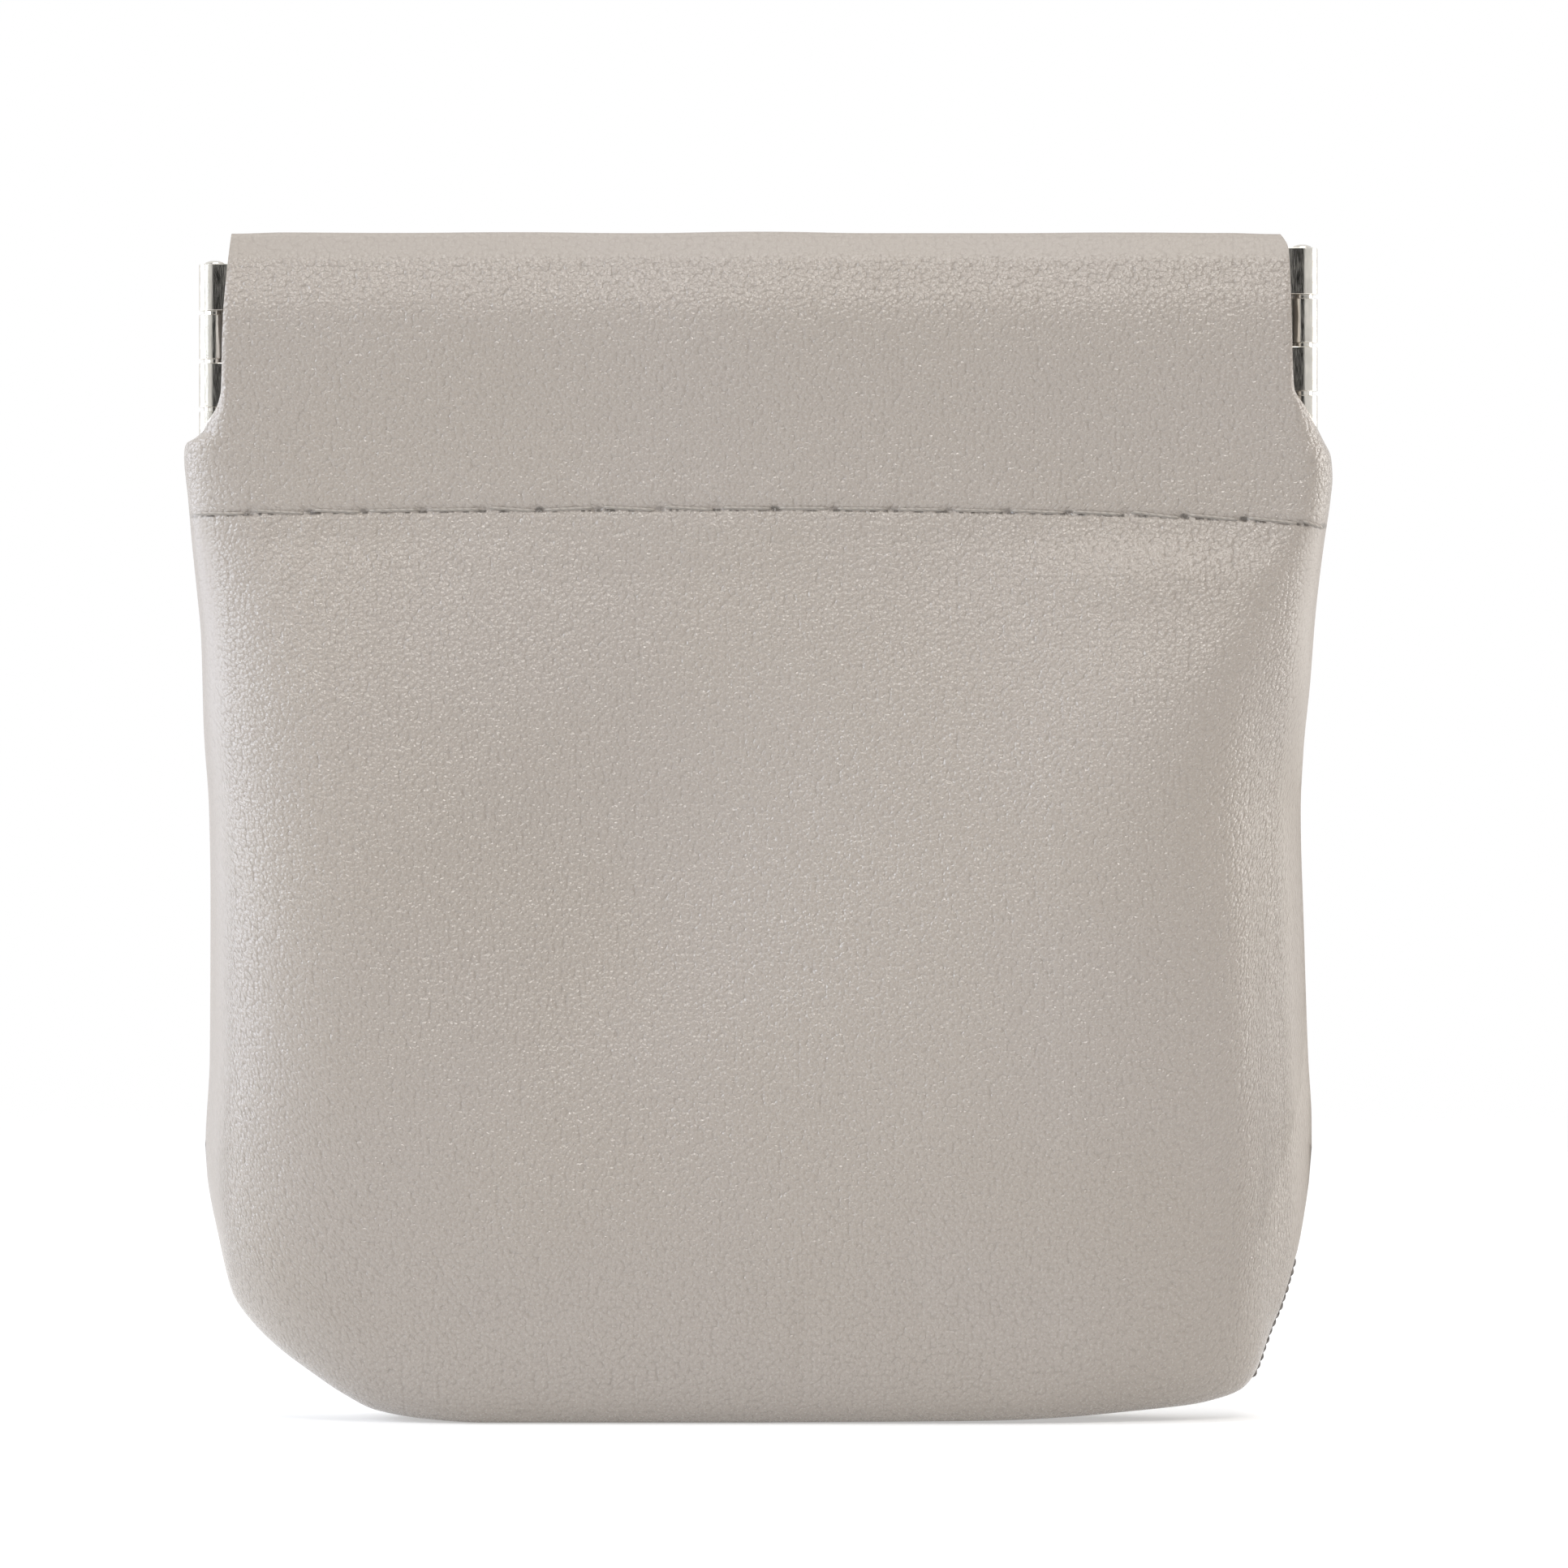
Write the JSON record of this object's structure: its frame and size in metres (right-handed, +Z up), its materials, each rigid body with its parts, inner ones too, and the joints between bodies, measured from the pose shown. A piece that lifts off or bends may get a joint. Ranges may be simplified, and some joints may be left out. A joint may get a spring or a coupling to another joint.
{
  "type": "squeeze pouch",
  "caption": "Small soft leather pouch with a sprung flex frame in its mouth: squeezing the hinged ends bows the frame open, and it springs shut when let go.",
  "frame": {"origin": "middle of the bottom, on the surface that the pouch stands on", "axes": "+X to the right of the front, the front faces -Y, +Z up through the mouth"},
  "size_m": [0.0848, 0.0166, 0.0877],
  "materials": {
    "leather": "warm light grey fine-grained soft leather with a satin sheen",
    "spring_steel": "bright spring steel strip",
    "nickel": "bright nickel plate",
    "thread": "tone-on-tone twisted sewing thread"
  },
  "bodies": {
    "bottom": {"bottom_seam_thread": "thread"},
    "left_end": {"left_hinge_pin": "nickel", "left_seam_thread": "thread"},
    "right_end": {"right_hinge_pin": "nickel", "right_seam_thread": "thread"},
    "front_left": {"front_left_knuckles": "nickel"},
    "front_right": {"front_right_knuckles": "nickel"},
    "back_left": {"back_left_knuckles": "nickel"},
    "back_right": {"back_right_knuckles": "nickel"},
    "front": {"front_panel": "leather", "front_strip": "spring_steel"},
    "front_stitching": {"front_hem_thread": "thread"},
    "back": {"back_panel": "leather", "back_strip": "spring_steel"},
    "back_stitching": {"back_hem_thread": "thread"}
  },
  "joints": [
    {"name": "left_squeeze", "type": "hinge", "parent": "bottom", "child": "left_end", "pos_m": [-0.0402, 0, 0.001], "axis": [0, 1, 0], "range_deg": [0, 2.84]},
    {"name": "right_squeeze", "type": "hinge", "parent": "bottom", "child": "right_end", "pos_m": [0.0402, 0, 0.001], "axis": [0, -1, 0], "range_deg": [0, 2.84]},
    {"name": "left_front_hinge", "type": "hinge", "parent": "left_end", "child": "front_left", "pos_m": [-0.0402, 0, 0.0763], "axis": [0, 0, -1], "range_deg": [0, 28.7], "stiffness_Nm_per_rad": 0.03, "springref_deg": -17.19, "deforming": ["front_panel", "back_panel", "front_strip", "back_strip"]},
    {"name": "right_front_hinge", "type": "hinge", "parent": "right_end", "child": "front_right", "pos_m": [0.0402, 0, 0.0775], "axis": [0, 0, 1], "range_deg": [0, 28.72]},
    {"name": "left_back_hinge", "type": "hinge", "parent": "left_end", "child": "back_left", "pos_m": [-0.0402, 0, 0.0763], "axis": [0, 0, 1], "range_deg": [0, 28.72]},
    {"name": "right_back_hinge", "type": "hinge", "parent": "right_end", "child": "back_right", "pos_m": [0.0402, 0, 0.0775], "axis": [0, 0, -1], "range_deg": [0, 28.72]},
    {"name": "front_fold", "type": "hinge", "parent": "front_left", "child": "front", "pos_m": [-0.0402, 0, 0.001], "axis": [0.3693, 0, 0.9293], "range_deg": [0, 31.09]},
    {"name": "front_fold_right", "type": "hinge", "parent": "front_right", "child": "front_stitching", "pos_m": [0.0402, 0, 0.001], "axis": [0.3693, 0, -0.9293], "range_deg": [0, 31.09]},
    {"name": "back_fold", "type": "hinge", "parent": "back_left", "child": "back", "pos_m": [-0.0402, 0, 0.001], "axis": [-0.3693, 0, -0.9293], "range_deg": [0, 31.09]},
    {"name": "back_fold_right", "type": "hinge", "parent": "back_right", "child": "back_stitching", "pos_m": [0.0402, 0, 0.001], "axis": [-0.3693, 0, 0.9293], "range_deg": [0, 31.09]}
  ],
  "couplings": [
    {"joint": "left_squeeze", "follows": "left_front_hinge", "ratio": 0.098334},
    {"joint": "right_squeeze", "follows": "left_front_hinge", "ratio": 0.098334},
    {"joint": "right_front_hinge", "follows": "left_front_hinge", "ratio": 1},
    {"joint": "left_back_hinge", "follows": "left_front_hinge", "ratio": 1},
    {"joint": "right_back_hinge", "follows": "left_front_hinge", "ratio": 1},
    {"joint": "front_fold", "follows": "left_front_hinge", "ratio": 1.0827},
    {"joint": "front_fold_right", "follows": "left_front_hinge", "ratio": 1.0827},
    {"joint": "back_fold", "follows": "left_front_hinge", "ratio": 1.0827},
    {"joint": "back_fold_right", "follows": "left_front_hinge", "ratio": 1.0827}
  ]
}
